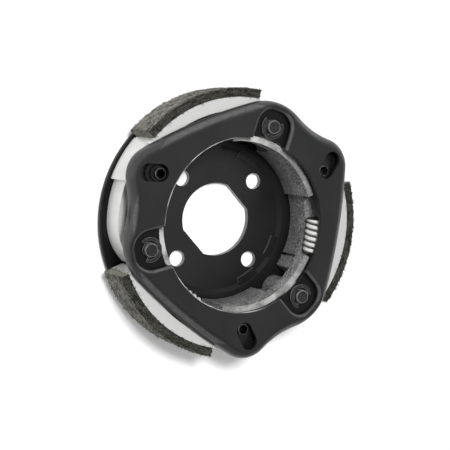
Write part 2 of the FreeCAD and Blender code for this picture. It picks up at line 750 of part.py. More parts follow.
# Preload adjuster: journal, crank that carries the spring hook, stepped cams, and a post with a hex socket
def makeAdjuster(index):
    body = newBody("preload_adjuster_%d" % (index + 1))
    axis = FreeCAD.Vector()
    crank = polar(crankReach.value, crankTurn.value)
    centre = polar(crankReach.value / 2, crankTurn.value)

    journal = newSketch(body, "journal_outline", journalBottom)
    drawCircle(journal, axis, journalRadius)
    addPad(body, journal, "journal", webTop + runGap - journalBottom)

    disc = newSketch(body, "crank_disc_outline", webTop + runGap)
    drawCircle(disc, centre, crankDiscRadius)
    addPad(body, disc, "crank_disc", crankBottom - webTop - runGap)

    pin = newSketch(body, "crank_pin_outline", crankBottom)
    drawCircle(pin, crank, crankRadius)
    addPad(body, pin, "crank_pin", crankTop - crankBottom)

    skirtBottom = platformTop + skirtGap
    neck = newSketch(body, "neck_outline", crankTop)
    drawCircle(neck, polar(camOffsets[0].value, slotTurn.value), camRadii[0])
    addPad(body, neck, "neck", skirtBottom - crankTop)
    skirt = newSketch(body, "skirt_outline", skirtBottom)
    drawCircle(skirt, polar(skirtOffset.value, skirtTurn.value), skirtRadius)
    addPad(body, skirt, "skirt", flangeBottom - skirtGap - skirtBottom)

    level = flangeBottom - skirtGap
    for step, camRadius in enumerate(camRadii[1:]):
        cam = newSketch(body, "cam_outline_%d" % (step + 1), level)
        drawCircle(cam, polar(camOffsets[step + 1].value, slotTurn.value), camRadius)
        addPad(body, cam, "cam_%d" % (step + 1), camStepHeight)
        level = level + camStepHeight

    post = newSketch(body, "post_outline", level)
    drawCircle(post, axis, postRadius)
    blank = addPad(body, post, "post", postTop - level)
    addBevel(body, blank, "post_edge", slotLip - hookGap - runGap, lambda edge: isLevel(edge, postTop.value))

    socket = newSketch(body, "socket_outline", postTop)
    corner = socketFlat.value / math.cos(math.pi / socketSides)
    drawLoop(socket, [polar(corner, fullTurn / socketSides * side) for side in range(socketSides)])
    addPocket(body, socket, "socket", socketDepth)
    turn = FreeCAD.Rotation(upward, pinAngle(index))
    body.Placement = FreeCAD.Placement(turn.multVec(polar(adjusterCircle.value, adjusterAngle.value)), turn)
    return body


# Wire from one end of the coil onto its axis and round a pin: a lead, a shank, a small neck and an open hook
def springEnd(coilPoint, heading, forward, pinPlace):
    hook = sheet.crankRadius + sheet.hookGap + sheet.wireRadius
    neck = sheet.hookNeck
    pull = sheet.coilLeadPull
    landing = FreeCAD.Vector(coilPoint.x + forward * sheet.coilLeadOut, 0, 0)
    lead = Part.BezierCurve()
    arrival = landing - FreeCAD.Vector(forward * pull, 0, 0)
    lead.setPoles([coilPoint, coilPoint + heading * pull, arrival, landing])

    reach = math.sqrt((hook + neck) ** 2 - neck ** 2)
    turnIn = FreeCAD.Vector(pinPlace.x - forward * reach, 0, 0)
    neckMiddle = FreeCAD.Vector(turnIn.x, -neck, 0)
    toPin = (pinPlace - neckMiddle).normalize()
    shank = Part.LineSegment(landing, turnIn)
    halfway = (toPin + FreeCAD.Vector(0, 1, 0)).normalize()
    bend = Part.Arc(turnIn, neckMiddle + halfway * neck, neckMiddle + toPin * neck)

    outset = toPin * -hook
    half = FreeCAD.Rotation(upward, forward * sheet.hookSweep / 2)
    tipOutset = (half * half).multVec(outset)
    loop = Part.Arc(pinPlace + outset, pinPlace + half.multVec(outset), pinPlace + tipOutset)
    return [curve.toShape() for curve in (lead, shank, bend, loop)]


# Return spring: one wire from the crank of its own shoe, through the coil, to the anchor pin of the next shoe
def makeSpring(index):
    crank = polar(sheet.adjusterCircle, sheet.adjusterAngle) + polar(sheet.crankReach, sheet.crankTurn)
    anchor = polar(sheet.anchorCircle, sheet.anchorAngle - shoeStep)
    span = (anchor - crank).Length
    coilLength = sheet.coilPitch * sheet.coilTurns
    coilStart = (span - coilLength) / 2 + sheet.coilMiddle
    helix = Part.makeHelix(sheet.coilPitch, coilLength, sheet.coilRadius, 0, True)
    alongWire = FreeCAD.Vector(1, 0, 0)
    toAxis = FreeCAD.Rotation(alongWire, quarterTurn).multiply(FreeCAD.Rotation(upward, alongWire))
    helix.Placement = FreeCAD.Placement(FreeCAD.Vector(coilStart, 0, 0), toAxis)
    coil = helix.Edges[0]
    entry = coil.valueAt(coil.FirstParameter)
    leaving = coil.valueAt(coil.LastParameter)
    before = springEnd(entry, coil.tangentAt(coil.FirstParameter) * -1, -1, FreeCAD.Vector())
    after = springEnd(leaving, coil.tangentAt(coil.LastParameter), 1, FreeCAD.Vector(span, 0, 0))
    path = Part.Wire(before[::-1] + [coil] + after)
    first = path.OrderedEdges[0]
    tip = first.valueAt(first.FirstParameter)
    section = Part.Wire([Part.makeCircle(sheet.wireRadius, tip, first.tangentAt(first.FirstParameter))])

    feature = doc.addObject("Part::Feature", "return_spring_%d" % (index + 1))
    feature.Label = "return_spring_%d" % (index + 1)
    feature.Shape = path.makePipeShell([section], True, True)
    turn = FreeCAD.Rotation(upward, pinAngle(index))
    lie = FreeCAD.Rotation(upward, bearing(crank, anchor))
    base = turn.multVec(crank + FreeCAD.Vector(0, 0, sheet.springHeight))
    feature.Placement = FreeCAD.Placement(base, turn.multiply(lie))
    return feature


pieces = [makeBackPlate(), makeFrontPlate()]
for index in range(shoeCount):
    pieces.append(makePivotPin(index))
    pieces.append(makeShoe(index))
    pieces.append(makeLining(index))
    pieces.append(makeAnchorPin(index))
    pieces.append(makeAdjuster(index))
    pieces.append(makeSpring(index))
pieces.append(makeClips())
pieces.append(makeWashers())
doc.recompute()

os.makedirs("parts", exist_ok=True)
for item in doc.Objects:
    if "Invalid" in item.State or "Error" in item.State:
        raise ValueError("%s did not build: %s" % (item.Label, item.State))
for piece in pieces:
    if piece.Shape.isNull() or not piece.Shape.isValid():
        raise ValueError("%s has no valid shape" % piece.Label)
    print(piece.Label, len(piece.Shape.Solids), round(piece.Shape.Volume, 1))
    piece.Shape.exportStep("parts/%s.step" % piece.Label)
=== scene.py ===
import math
import random

import bmesh
import bpy
from mathutils import Euler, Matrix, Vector


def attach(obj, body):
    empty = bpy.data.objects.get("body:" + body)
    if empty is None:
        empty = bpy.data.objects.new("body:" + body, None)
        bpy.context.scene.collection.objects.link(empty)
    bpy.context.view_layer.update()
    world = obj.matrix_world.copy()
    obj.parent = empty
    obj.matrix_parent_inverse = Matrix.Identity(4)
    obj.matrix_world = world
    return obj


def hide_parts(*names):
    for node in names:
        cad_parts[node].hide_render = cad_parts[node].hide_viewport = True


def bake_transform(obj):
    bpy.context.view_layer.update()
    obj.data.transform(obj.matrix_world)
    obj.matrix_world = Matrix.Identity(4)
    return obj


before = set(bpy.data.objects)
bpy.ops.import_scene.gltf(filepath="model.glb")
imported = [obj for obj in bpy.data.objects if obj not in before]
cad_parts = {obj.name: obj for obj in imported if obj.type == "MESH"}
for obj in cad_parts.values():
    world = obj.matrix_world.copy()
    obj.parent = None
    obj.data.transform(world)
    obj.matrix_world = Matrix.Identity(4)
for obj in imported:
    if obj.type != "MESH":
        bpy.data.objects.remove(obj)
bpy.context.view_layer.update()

print("frame loaded")

mm = 0.001


# one output of a shader node, so that masks and heights are written as sums
class Signal:
    def __init__(self, finish, socket):
        self.finish = finish
        self.socket = socket

    def maths(self, operation, *values, clamp=False):
        inputs = {number: value for number, value in enumerate(values)}
        return self.finish.add("ShaderNodeMath", {"operation": operation, "use_clamp": clamp}, inputs)

    def __add__(self, other):
        return self.maths("ADD", self, other)

    def __radd__(self, other):
        return self.maths("ADD", other, self)

    def __sub__(self, other):
        return self.maths("SUBTRACT", self, other)

    def __rsub__(self, other):
        return self.maths("SUBTRACT", other, self)

    def __mul__(self, other):
        return self.maths("MULTIPLY", self, other)

    def __rmul__(self, other):
        return self.maths("MULTIPLY", other, self)

    def __truediv__(self, other):
        return self.maths("DIVIDE", self, other)

    def __pow__(self, other):
        return self.maths("POWER", self, other)

    # 0 below start, 1 above end, smooth between; start may lie above end to turn it round
    def rise(self, start, end):
        inputs = {"Value": self, "From Min": start, "From Max": end, "To Min": 0.0, "To Max": 1.0}
        return self.finish.add("ShaderNodeMapRange", {"interpolation_type": "SMOOTHSTEP"}, inputs)

    def least(self, other):
        return self.maths("MINIMUM", self, other)

    def most(self, other):
        return self.maths("MAXIMUM", self, other)


# a material that is put together from nodes
class Finish:
    def __init__(self, name):
        self.material = bpy.data.materials.new(name)
        self.material.use_nodes = True
        self.tree = self.material.node_tree
        self.shader = self.tree.nodes["Principled BSDF"]
        self.place = self.add("ShaderNodeTexCoord", out="Object")
        self.facing = self.add("ShaderNodeTexCoord", out="Normal")

    def add(self, kind, settings=None, inputs=None, out=0):
        node = self.tree.nodes.new(kind)
        for key, value in (settings or {}).items():
            setattr(node, key, value)
        for key, value in (inputs or {}).items():
            self.feed(node.inputs[key], value)
        return Signal(self, node.outputs[out])

    def feed(self, socket, value):
        if isinstance(value, Signal):
            self.tree.links.new(value.socket, socket)
        elif isinstance(value, tuple) and len(value) == 3 and socket.type == "RGBA":
            socket.default_value = (*value, 1)
        else:
            socket.default_value = value

    def set(self, **values):
        for key, value in values.items():
            words = "".join(" " + letter if letter.isupper() else letter for letter in key)
            self.feed(self.shader.inputs[words[0].upper() + words[1:]], value)

    def mirrorLevel(self, level):
        self.shader.inputs["Specular IOR Level"].default_value = level

    def noise(self, size, detail=3.0, roughness=0.5, where=None, distortion=0.0):
        inputs = {"Vector": where or self.place, "Scale": 1 / (size * mm), "Detail": detail,
                  "Roughness": roughness, "Distortion": distortion}
        return self.add("ShaderNodeTexNoise", None, inputs)

    def cells(self, size, feature="F1", where=None, randomness=1.0):
        inputs = {"Vector": where or self.place, "Scale": 1 / (size * mm), "Randomness": randomness}
        return self.add("ShaderNodeTexVoronoi", {"feature": feature}, inputs)

    def mix(self, amount, first, second, blend="MIX"):
        node = self.tree.nodes.new("ShaderNodeMix")
        node.data_type = "RGBA"
        node.blend_type = blend
        colours = [socket for socket in node.inputs if socket.type == "RGBA"]
        self.feed(node.inputs[0], amount)
        self.feed(colours[0], first)
        self.feed(colours[1], second)
        return Signal(self, [socket for socket in node.outputs if socket.type == "RGBA"][0])

    def parts(self, where):
        split = self.tree.nodes.new("ShaderNodeSeparateXYZ")
        self.feed(split.inputs[0], where)
        return [Signal(self, socket) for socket in split.outputs]

    def joined(self, x, y, z):
        return self.add("ShaderNodeCombineXYZ", None, {0: x, 1: y, 2: z})

    def painted(self, name):
        return self.add("ShaderNodeAttribute", {"attribute_name": name}, out="Fac")

    # distance from the pulley axis and height, both in millimetres, and the angle round the axis
    def polar(self):
        x, y, z = self.parts(self.place)
        reach = (x * x + y * y) ** 0.5 / mm
        angle = x.maths("ARCTAN2", y, x)
        return reach, angle, z / mm

    # 1 where a face looks away from the pulley axis, -1 where it looks at it
    def outward(self, reach):
        x, y, _ = self.parts(self.place)
        across, along, _ = self.parts(self.facing)
        return (x * across + y * along) / (reach * mm)

    def bump(self, height, depth, strength=1.0, over=None):
        inputs = {"Height": height, "Distance": depth * mm, "Strength": strength}
        if over is not None:
            inputs["Normal"] = over
        return self.add("ShaderNodeBump", None, inputs)


frontPlateCoat = {
    "colour": (0.0095, 0.0097, 0.0103),
    "dusty": (0.018, 0.018, 0.0185),
    "fold": (0.042, 0.042, 0.043),
    "lip": (0.12, 0.12, 0.12),
    "pocket": (0.0035, 0.0035, 0.004),
    "bareEdge": (0.46, 0.46, 0.45),
    "litSideUntil": -4.0,
    "edgeHighlightReach": 33.97,
    "edgeHighlightHeight": (28.0, 28.4),
    "lipReach": (46.6, 46.0),
    "lipHighlightHeight": (27.0, 27.6),
    "pocketReach": (47.6, 47.0),
    "pocketHeight": (27.0, 26.2),
    "roughness": 0.42,
    "mirror": 0.12,
    "coat": 0.62,
    "coatRoughness": 0.37,
    "pocketShade": 0.75,
    "peelSize": 0.5,
    "peelDepth": 0.010,
}


def makeFrontPlateCoat(look):
    finish = Finish("black_plate")
    reach, _, height = finish.polar()
    x, y, _ = finish.parts(finish.place)
    cloud = finish.noise(22, 4.0)
    fine = finish.noise(1.6, 3.0)
    colour = finish.mix(cloud.rise(0.35, 0.75) * 0.6 + fine * 0.25, look["colour"], look["dusty"])
    upright = finish.parts(finish.facing)[2]
    folded = upright.rise(0.985, 0.86) * upright.rise(0.05, 0.35)
    # painted sheen: sloped fold faces are coloured lighter, standing in for the reflection they catch
    colour = finish.mix(folded * 0.75, colour, look["fold"])
    # painted highlight: the folded lips round the pin pockets are coloured light
    lip = folded * reach.rise(*look["lipReach"]) * height.rise(*look["lipHighlightHeight"])
    colour = finish.mix(lip * fine, colour, look["lip"])
    # painted shade: the pin pockets are coloured darker, and their coat is thinned below so they reflect
    # less
    pocketShadeMask = height.rise(*look["pocketHeight"]) * reach.rise(*look["pocketReach"])
    colour = finish.mix(pocketShadeMask * 0.8, colour, look["pocket"])
    # the bare cut edge round the opening, coloured bright only on the side that faces the light: bare
    # metal and a painted highlight
    nearOpening = reach.rise(look["edgeHighlightReach"] + 0.1, look["edgeHighlightReach"] - 0.1)
    atOpening = nearOpening * height.rise(*look["edgeHighlightHeight"])
    fading = finish.noise(7.0).rise(0.36, 0.62) * 0.8 + 0.2
    side = (x / mm + y * 0.25 / mm).rise(look["litSideUntil"] + 9, look["litSideUntil"])
    edgeHighlight = atOpening * side * fading
    finish.set(baseColor=finish.mix(edgeHighlight, colour, look["bareEdge"]),
               roughness=look["roughness"] + (fine - 0.5) * 0.16 + (cloud - 0.5) * 0.1,
               coatWeight=(1 - pocketShadeMask * look["pocketShade"]) * look["coat"],
               coatRoughness=look["coatRoughness"])
    finish.mirrorLevel(look["mirror"])
    peel = finish.bump(finish.noise(look["peelSize"], 2.0), look["peelDepth"])
    finish.set(normal=finish.bump(finish.noise(4.0, 2.0), 0.03, 0.6, peel))
    return finish.material


carrierCoat = {
    "floor": (0.0085, 0.0085, 0.009),
    "outside": (0.0055, 0.0055, 0.006),
    "dusty": (0.017, 0.0168, 0.0165),
    "worn": (0.035, 0.035, 0.035),
    "holeWall": (0.16, 0.16, 0.158),
    "glossEdge": 32.0,
    "holeReach": (29.0, 28.4),
    "wornReach": (44.0, 46.0),
    "roughness": 0.46,
    "mirror": 0.12,
    "coat": 0.75,
    "dullSide": (0.8, -0.6),
    "dullRun": (0.0, 24.0),
    "shadedSideShare": 0.6,
    "coatRoughness": 0.30,
    "streakDepth": 0.012,
}


def makeCarrierCoat(look):
    finish = Finish("black_carrier")
    reach, angle, _ = finish.polar()
    upright = finish.parts(finish.facing)[2]
    lying = upright.maths("ABSOLUTE", upright).rise(0.55, 0.8)
    floorArea = reach.rise(look["glossEdge"] + 1, look["glossEdge"] - 1)
    cloud = finish.noise(16, 4.0)
    fine = finish.noise(1.2, 3.0)
    around = finish.noise(0.8, 2.0, 0.5, finish.joined(reach * mm, angle * 0.004, 0.0))
    colour = finish.mix(floorArea, look["outside"], look["floor"])
    colour = finish.mix(cloud.rise(0.4, 0.8) * 0.5 + fine * 0.2, colour, look["dusty"])
    walls = (1 - lying) * reach.rise(*look["holeReach"])
    colour = finish.mix(walls * (fine * 0.5 + 0.5), colour, look["holeWall"])
    # painted shade: the coat is thinned towards the right and the bottom, so the floor there reflects less
    # and looks darker
    x, y, _ = finish.parts(finish.place)
    sideways, along = (share / mm for share in look["dullSide"])
    shadedSide = (x * sideways + y * along).rise(*look["dullRun"]) * look["shadedSideShare"]
    rubbed = finish.noise(2.0).rise(0.35, 0.6) * 0.7 + 0.3
    worn = finish.painted("worn") * rubbed * reach.rise(*look["wornReach"])
    colour = finish.mix(worn, colour, look["worn"])
    finish.set(baseColor=colour, roughness=look["roughness"] + (fine - 0.5) * 0.2,
               coatWeight=floorArea * look["coat"] * (1 - shadedSide), coatRoughness=look["coatRoughness"])
    finish.mirrorLevel(look["mirror"])
    peel = finish.bump(finish.noise(0.5, 2.0), 0.010)
    finish.set(normal=finish.bump(around, look["streakDepth"], 1.0, peel))
    return finish.material


castShoe = {
    "machined": (0.64, 0.642, 0.63),
    "machinedDark": (0.40, 0.40, 0.39),
    "cast": (0.53, 0.534, 0.53),
    "castDark": (0.13, 0.131, 0.13),
    "webTop": (0.20, 0.20, 0.198),
    "webShare": 0.60,
    "machinedMetal": 0.30,
    "castMetal": 0.25,
    "machinedRoughness": 0.36,
    "castRoughness": 0.66,
    "grainSize": 0.42,
    "grainDepth": 0.30,
    "lineDepth": 0.012,
    "rimReach": (37.0, 36.0),
    "turnedReach": (37.0, 39.0),
    "platformReach": (44.5, 45.5),
    "facedHeight": (22.9, 23.2),
    "lowWallShadeHeight": (19.0, 7.0),
}


def makeCastShoe(look):
    finish = Finish("shoe_aluminium")
    reach, angle, height = finish.polar()
    upright = finish.parts(finish.facing)[2]
    outward = finish.outward(reach)
    lying = upright.rise(0.6, 0.9)
    rimLand = reach.rise(*look["rimReach"]) * finish.noise(7.0).rise(0.68, 0.45) * 0.85
    faced = lying * height.rise(*look["facedHeight"]) * (1 - rimLand)
    turned = outward.rise(0.35, 0.6) * reach.rise(*look["turnedReach"])
    turned = turned.most(reach.rise(*look["platformReach"]))
    machined = faced.most(turned).most(finish.painted("worn") * 0.7)
    grain = finish.noise(look["grainSize"], 4.0, 0.65)
    speckle = finish.noise(0.9, 3.0, 0.6)
    patches = finish.noise(6.0, 3.0).rise(0.3, 0.7)
    mottled = patches * 0.45 + speckle.rise(0.38, 0.66) * 0.55
    castColour = finish.mix(mottled, look["castDark"], look["cast"])
    castColour = finish.mix(speckle.rise(0.56, 0.63) * 0.9, castColour, look["machined"])
    blots = finish.noise(1.5, 4.0, 0.65).rise(0.52, 0.66) * 0.6
    # painted shade: cast walls are coloured darker towards the bottom
    lowWallShade = (1 - lying) * height.rise(*look["lowWallShadeHeight"]) * 0.55
    castColour = finish.mix(blots.most(lowWallShade), castColour, look["castDark"])
    # painted shade: upward-facing cast faces are darkened, standing in for the shade on the web
    castColour = finish.mix(lying * look["webShare"], castColour, look["webTop"])
    across = finish.joined(angle * 0.024, reach * mm * 0.16, 0.0)
    radial = finish.noise(1.0, 6.0, 0.72, across, 0.4)
    streaks = finish.noise(0.35, 2.0, 0.6, finish.joined(angle * 0.06, reach * mm * 0.1, 0.0))
    stained = radial.rise(0.45, 0.8) * 0.42 + streaks.rise(0.55, 0.8) * 0.10
    metal = finish.mix(stained * (1 - turned * 0.6), look["machined"], look["machinedDark"])
    smoother = look["castRoughness"] - look["machinedRoughness"]
    finish.set(baseColor=finish.mix(machined, castColour, metal),
               metallic=machined * (look["machinedMetal"] - look["castMetal"]) + look["castMetal"],
               roughness=look["castRoughness"] - machined * smoother + (grain - 0.5) * 0.2)
    rough = finish.bump((grain + finish.cells(1.1) * 0.4) * (1 - machined), look["grainDepth"])
    finish.set(normal=finish.bump(streaks * machined, look["lineDepth"], 1.0, rough))
    return finish.material


friction = {
    "base": (0.096, 0.094, 0.079),
    "dark": (0.012, 0.012, 0.010),
    "fleck": (0.42, 0.41, 0.36),
    "rubbed": (0.28, 0.278, 0.247),
    "ends": (0.22, 0.215, 0.175),
    "topShade": 0.5,
    "grain": 0.34,
    "lumps": ((1.3, 0.8), (0.6, 0.55)),
    "roughness": 0.92,
    "mirror": 0.2,
    "fibres": 700,
    "fibreLength": (0.3, 1.3),
    "fibreWidth": 0.11,
    "fibreRoot": 0.15,
    "fibreStray": 0.55,
    "fibreBend": 0.35,
    "fibreWaist": (0.6, 0.4),
}


def makeFriction(look):
    finish = Finish("friction_lining")
    reach, angle, _ = finish.polar()
    around = finish.joined(angle * 0.016, reach * mm, finish.parts(finish.place)[2])
    layers = finish.noise(1.0, 5.0, 0.72, around, 0.8)
    grit = finish.noise(0.42, 4.0, 0.75)
    upright = finish.parts(finish.facing)[2]
    walls = upright.maths("ABSOLUTE", upright).rise(0.75, 0.35)
    colour = finish.mix(layers.rise(0.42, 0.57), look["dark"], look["base"])
    colour = finish.mix(grit.rise(0.54, 0.68) * 0.75, colour, look["fleck"])
    rubbed = walls * (layers.rise(0.42, 0.58) * 0.8 + 0.12)
    colour = finish.mix(rubbed, colour, look["rubbed"])
    outward = finish.outward(reach)
    ends = walls * outward.maths("ABSOLUTE", outward).rise(0.65, 0.35)
    colour = finish.mix(ends * 0.6, colour, look["ends"])
    colour = finish.mix((1 - walls) * look["topShade"], colour, look["dark"])
    colour = finish.mix(grit.rise(0.46, 0.34) * 0.7, colour, look["dark"])
    finish.set(baseColor=colour, roughness=look["roughness"])
    finish.mirrorLevel(look["mirror"])
    coarse = finish.bump(layers + grit * 0.5, 0.30)
    finish.set(normal=finish.bump(finish.noise(0.22, 3.0), 0.08, 1.0, coarse))
    return finish.material


steels = {
    "pin": {"dark": (0.017, 0.017, 0.018), "light": (0.045, 0.045, 0.046), "edge": (0.26, 0.26, 0.26),
            "roughness": 0.42, "metal": 0.35, "lines": 0.4},
    "clip": {"dark": (0.020, 0.020, 0.021), "light": (0.050, 0.050, 0.050), "edge": (0.22, 0.22, 0.22),
             "roughness": 0.40, "metal": 0.35, "lines": 0.5},
    "adjuster": {"dark": (0.007, 0.007, 0.008), "light": (0.020, 0.020, 0.021), "edge": (0.11, 0.11, 0.11),
                 "roughness": 0.38, "metal": 0.35, "lines": 0.4,
                 "highlightAbove": 27.3, "highlightTilt": (0.2, 0.95)},
}


def makeSteel(name, look):
    finish = Finish(name)
    wear = finish.noise(1.2, 4.0, 0.6)
    turning = finish.noise(look["lines"], 2.0, 0.5)
    colour = finish.mix(wear.rise(0.4, 0.75), look["dark"], look["light"])
    # broken edges are coloured light: edge wear and a painted highlight
    edge = finish.painted("worn") * (wear.rise(0.3, 0.55) * 0.6 + 0.4)
    finish.set(baseColor=finish.mix(edge, colour, look["edge"]), metallic=look["metal"],
               roughness=look["roughness"] + (wear - 0.5) * 0.2)
    finish.set(normal=finish.bump(turning, 0.008))
    return finish.material


whiteSpring = {
    "paint": (0.68, 0.68, 0.665),
    "grime": (0.42, 0.41, 0.39),
    "wire": (0.030, 0.030, 0.031),
    "roughness": 0.42,
}


def makeWhitePaint(look):
    finish = Finish("white_spring")
    grime = finish.noise(1.4, 4.0, 0.6).rise(0.58, 0.8)
    paint = finish.mix(grime * 0.7, look["paint"], look["grime"])
    covered = finish.painted("paint")
    # painted shade: outside the coil the hooks take the dark colour
    finish.set(baseColor=finish.mix(covered, look["wire"], paint),
               roughness=look["roughness"] + grime * 0.3)
    finish.set(normal=finish.bump(finish.noise(0.5, 2.0), 0.012))
    return finish.material


finishes = {
    "front_plate": makeFrontPlateCoat(frontPlateCoat),
    "back_plate": makeCarrierCoat(carrierCoat),
    "shoe": makeCastShoe(castShoe),
    "lining": makeFriction(friction),
    "pin": makeSteel("pin_steel", steels["pin"]),
    "clip": makeSteel("clip_steel", steels["clip"]),
    "adjuster": makeSteel("adjuster_steel", steels["adjuster"]),
    "spring": makeWhitePaint(whiteSpring),
}
print("finishes made")

weldDistance = 0.0005 * mm
flatAngle = math.radians(0.6)
edgeAngle = math.radians(32)


# a welded copy of a CAD node's loose triangles, with its flat faces joined up
def weldedCopy(nodeName):
    shape = bmesh.new()
    shape.from_mesh(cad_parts[nodeName].data)
    bmesh.ops.remove_doubles(shape, verts=shape.verts, dist=weldDistance)
    bmesh.ops.dissolve_limit(shape, angle_limit=flatAngle, verts=shape.verts, edges=shape.edges)
    return shape


# hard edges are broken, and the narrow faces that this makes are marked for edge wear and painted
# highlights
def breakEdges(shape, width, segments):
    hard = [edge for edge in shape.edges
            if len(edge.link_faces) == 2 and edge.calc_face_angle() > edgeAngle]
    made = bmesh.ops.bevel(shape, geom=hard, offset=width * mm, offset_type="OFFSET", segments=segments,
                           profile=0.5, affect="EDGES", clamp_overlap=True, material=-1)
    worn = shape.loops.layers.float_color.new("worn")
    narrow = set(made["faces"])
    for face in shape.faces:
        shade = 1.0 if face in narrow else 0.0
        for loop in face.loops:
            loop[worn] = (shade, shade, shade, 1)


def placeMesh(shape, name, finish):
    mesh = bpy.data.meshes.new(name)
    shape.to_mesh(mesh)
    shape.free()
    mesh.shade_smooth()
    mesh.set_sharp_from_angle(angle=edgeAngle)
    mesh.materials.append(finish)
    piece = bpy.data.objects.new(name, mesh)
    bpy.context.scene.collection.objects.link(piece)
    return piece


# painted highlight: the chamfer round the top of an adjuster's post is marked to be coloured bright
def highlightPostEdge(shape, look):
    worn = shape.loops.layers.float_color["worn"]
    steep, flat = look["highlightTilt"]
    for face in shape.faces:
        if face.calc_center_median().z > look["highlightAbove"] * mm and steep < face.normal.z < flat:
            for loop in face.loops:
                loop[worn] = (1, 1, 1, 1)


# a dressed copy of a CAD node that takes its place
def dress(nodeName, finish, edgeWidth, body, segments=2, rub=None):
    shape = weldedCopy(nodeName)
    if edgeWidth:
        breakEdges(shape, edgeWidth, segments)
    if rub:
        highlightPostEdge(shape, rub)
    piece = placeMesh(shape, nodeName + "_dressed", finish)
    if edgeWidth:
        piece.modifiers.new("flat_faces", "WEIGHTED_NORMAL").keep_sharp = True
    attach(piece, body)
    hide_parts(nodeName)
    return piece


# the lining as pressed fibre: its skin is remade in small grains and pushed in and out
def fray(piece, look):
    grains = piece.modifiers.new("grains", "REMESH")
    grains.mode = "VOXEL"
    grains.voxel_size = look["grain"] * mm
    grains.use_smooth_shade = True
    for size, depth in look["lumps"]:
        cloud = bpy.data.textures.new("lining_lumps", "CLOUDS")
        cloud.noise_scale = size * mm
        cloud.noise_depth = 2
        push = piece.modifiers.new("lumps", "DISPLACE")
        push.texture = cloud
        push.texture_coords = "LOCAL"
        push.strength = depth * mm
        push.mid_level = 0.5


# loose ends of fibre that stand out of the edges of a lining
def makeFibres(nodeName, number, look, body):
    chance = random.Random(number)
    welded = weldedCopy(nodeName)
    rims = [edge for edge in welded.edges if edge.calc_length() > 0 and len(edge.link_faces) == 2
            and edge.calc_face_angle() > edgeAngle / 2]
    lengths = [edge.calc_length() for edge in rims]
    strands = bmesh.new()
    for edge in chance.choices(rims, lengths, k=look["fibres"]):
        share = chance.random()
        root = edge.verts[0].co.lerp(edge.verts[1].co, share)
        away = (edge.link_faces[0].normal + edge.link_faces[1].normal).normalized()
        stray = Vector((chance.gauss(0, 1), chance.gauss(0, 1), chance.gauss(0, 1)))
        heading = (away + stray * look["fibreStray"]).normalized()
        side = heading.cross(stray).normalized()
        length = chance.uniform(*look["fibreLength"]) * mm
        width = look["fibreWidth"] * mm / 2
        bend = away.cross(side) * length * chance.uniform(-look["fibreBend"], look["fibreBend"])
        foot = root - away * look["fibreRoot"] * mm
        base = [foot + side * width, foot - side * width, foot + heading.cross(side) * width * 2]
        waist, bow = look["fibreWaist"]
        middle = [corner + heading * length * waist + bend * bow for corner in base]
        tip = strands.verts.new(root + heading * length + bend)
        lower = [strands.verts.new(corner) for corner in base]
        upper = [strands.verts.new(corner) for corner in middle]
        for first, second in ((0, 1), (1, 2), (2, 0)):
            strands.faces.new((lower[first], lower[second], upper[second], upper[first]))
            strands.faces.new((upper[first], upper[second], tip))
    welded.free()
    bmesh.ops.recalc_face_normals(strands, faces=strands.faces)
    piece = placeMesh(strands, "lining_fibres_%d" % number, finishes["lining"])
    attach(piece, body)


springLie = {
    "firstHinge": 75.0,
    "hingeStep": 120.0,
    "adjuster": (40.6, -41.7),
    "crank": (3.6, -85.0),
    "anchor": (38.9, 18.7 - 120.0),
    "height": 21.0,
    "coil": (19.6, 33.9),
    "wireReach": (1.9, 2.5),
    "bends": (3.3, 35.4, 38.0),
}


def polarPoint(reach, angle):
    return Vector((reach * math.cos(math.radians(angle)), reach * math.sin(math.radians(angle)), 0)) * mm


# both ends of a spring, worked out as the solids have them
def springEnds(number, look):
    hinge = look["firstHinge"] + (number - 1) * look["hingeStep"]
    reach, angle = look["adjuster"]
    crankReach, crankAngle = look["crank"]
    start = polarPoint(reach, angle + hinge) + polarPoint(crankReach, crankAngle + hinge)
    end = polarPoint(look["anchor"][0], look["anchor"][1] + hinge)
    level = Vector((0, 0, look["height"] * mm))
    return start + level, end + level


# white paint covers the coil; the two hooks are coloured dark as painted shade
def paintCoil(piece, start, along, look):
    paint = piece.data.attributes.new("paint", "FLOAT", "POINT")
    inner, outer = (reach * mm for reach in look["wireReach"])
    first, last = (place * mm for place in look["coil"])
    for vertex, value in zip(piece.data.vertices, paint.data):
        offset = vertex.co - start
        place = offset.dot(along)
        reach = (offset - along * place).length
        onCoil = min(max((reach - inner) / (outer - inner), 0), 1)
        value.value = onCoil if first < place < last else 0.0


# the part of a spring behind a cut across its wire, closed at the cut
def springPart(number, cut, away):
    shape = weldedCopy("return_spring_%d" % number)
    whole = shape.verts[:] + shape.edges[:] + shape.faces[:]
    made = bmesh.ops.bisect_plane(shape, geom=whole, plane_co=cut, plane_no=away, clear_outer=True)
    rim = [item for item in made["geom_cut"] if isinstance(item, bmesh.types.BMEdge)]
    bmesh.ops.contextual_create(shape, geom=rim)
    return shape


# a painted spring, made as a near part and a far part cut across it near the far hook
def dressSpring(number, look, arm, nextArm):
    start, end = springEnds(number, look)
    along = (end - start).normalized()
    nearHook, cut, farHook = (start + along * place * mm for place in look["bends"])
    for part, away, bodies, bend in (("near", along, (arm, "plates"), (nearHook, cut)),
                                     ("far", -along, ("plates", nextArm), (cut, farHook))):
        name = "spring_%d_%s" % (number, part)
        piece = placeMesh(springPart(number, cut, away), name, finishes["spring"])
        paintCoil(piece, start, along, look)
        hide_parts("return_spring_%d" % number)
        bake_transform(piece)


